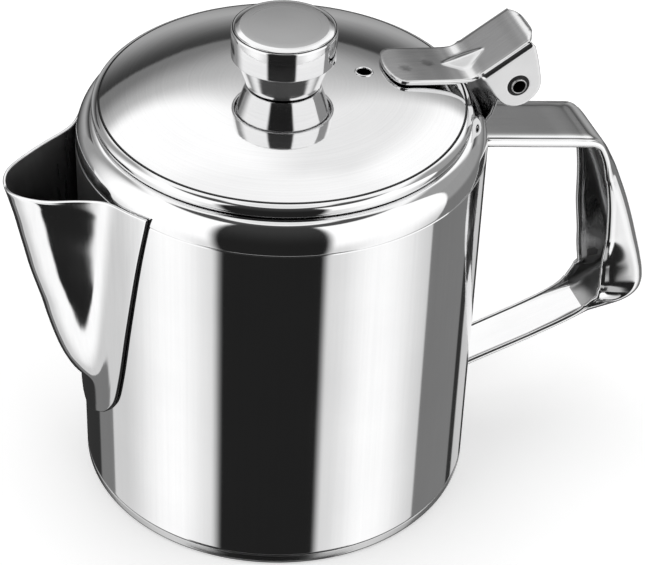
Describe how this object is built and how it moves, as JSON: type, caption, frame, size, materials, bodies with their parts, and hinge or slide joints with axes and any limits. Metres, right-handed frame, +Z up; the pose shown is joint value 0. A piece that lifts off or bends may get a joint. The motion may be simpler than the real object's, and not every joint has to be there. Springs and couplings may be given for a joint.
{
  "type": "coffee jug with hinged lid",
  "caption": "Straight-sided stainless steel coffee jug with a welded pouring spout, a pressed strap handle and a low domed lid with a round knob that hinges open on a thumb lever over the handle.",
  "frame": {"origin": "on the axis of the round body, on the plane that the foot ring stands on (the middle of the base is recessed 0.8 mm above it)", "axes": "+Z up along the axis of the body, +X towards the handle and the lid hinge, -X towards the spout, XZ is the plane of symmetry"},
  "size_m": [0.1754, 0.105, 0.134],
  "materials": {
    "polished_body": "bright polished stainless steel with a faint vertical grain",
    "polished_base": "polished stainless steel, slightly duller than the wall",
    "polished_spout": "polished pressed stainless steel sheet",
    "polished_strap": "polished pressed stainless steel strap",
    "polished_lid": "bright polished stainless steel with faint spun rings",
    "pressed_lever": "tumble-polished pressed steel",
    "hinge_steel": "dull pressed steel",
    "inner_steel": "spun steel, not polished",
    "knob_steel": "turned and polished steel",
    "rivet_steel": "dull steel"
  },
  "bodies": {
    "jug": {"body_shell": "polished_body", "base_pan": "polished_base", "spout": "polished_spout", "handle": "polished_strap", "hinge_bracket": "hinge_steel"},
    "lid": {"lid_dome": "polished_lid", "lid_locating_ring": "inner_steel", "hinge_lever": "pressed_lever", "hinge_pin": "rivet_steel", "knob_cap": "knob_steel", "knob_neck": "knob_steel", "knob_screw": "rivet_steel", "knob_washer": "rivet_steel"}
  },
  "joints": [
    {"name": "lid_hinge", "type": "hinge", "parent": "jug", "child": "lid", "pos_m": [0.06, 0, 0.1126], "axis": [0, 1, 0], "range_deg": [0, 110]}
  ]
}
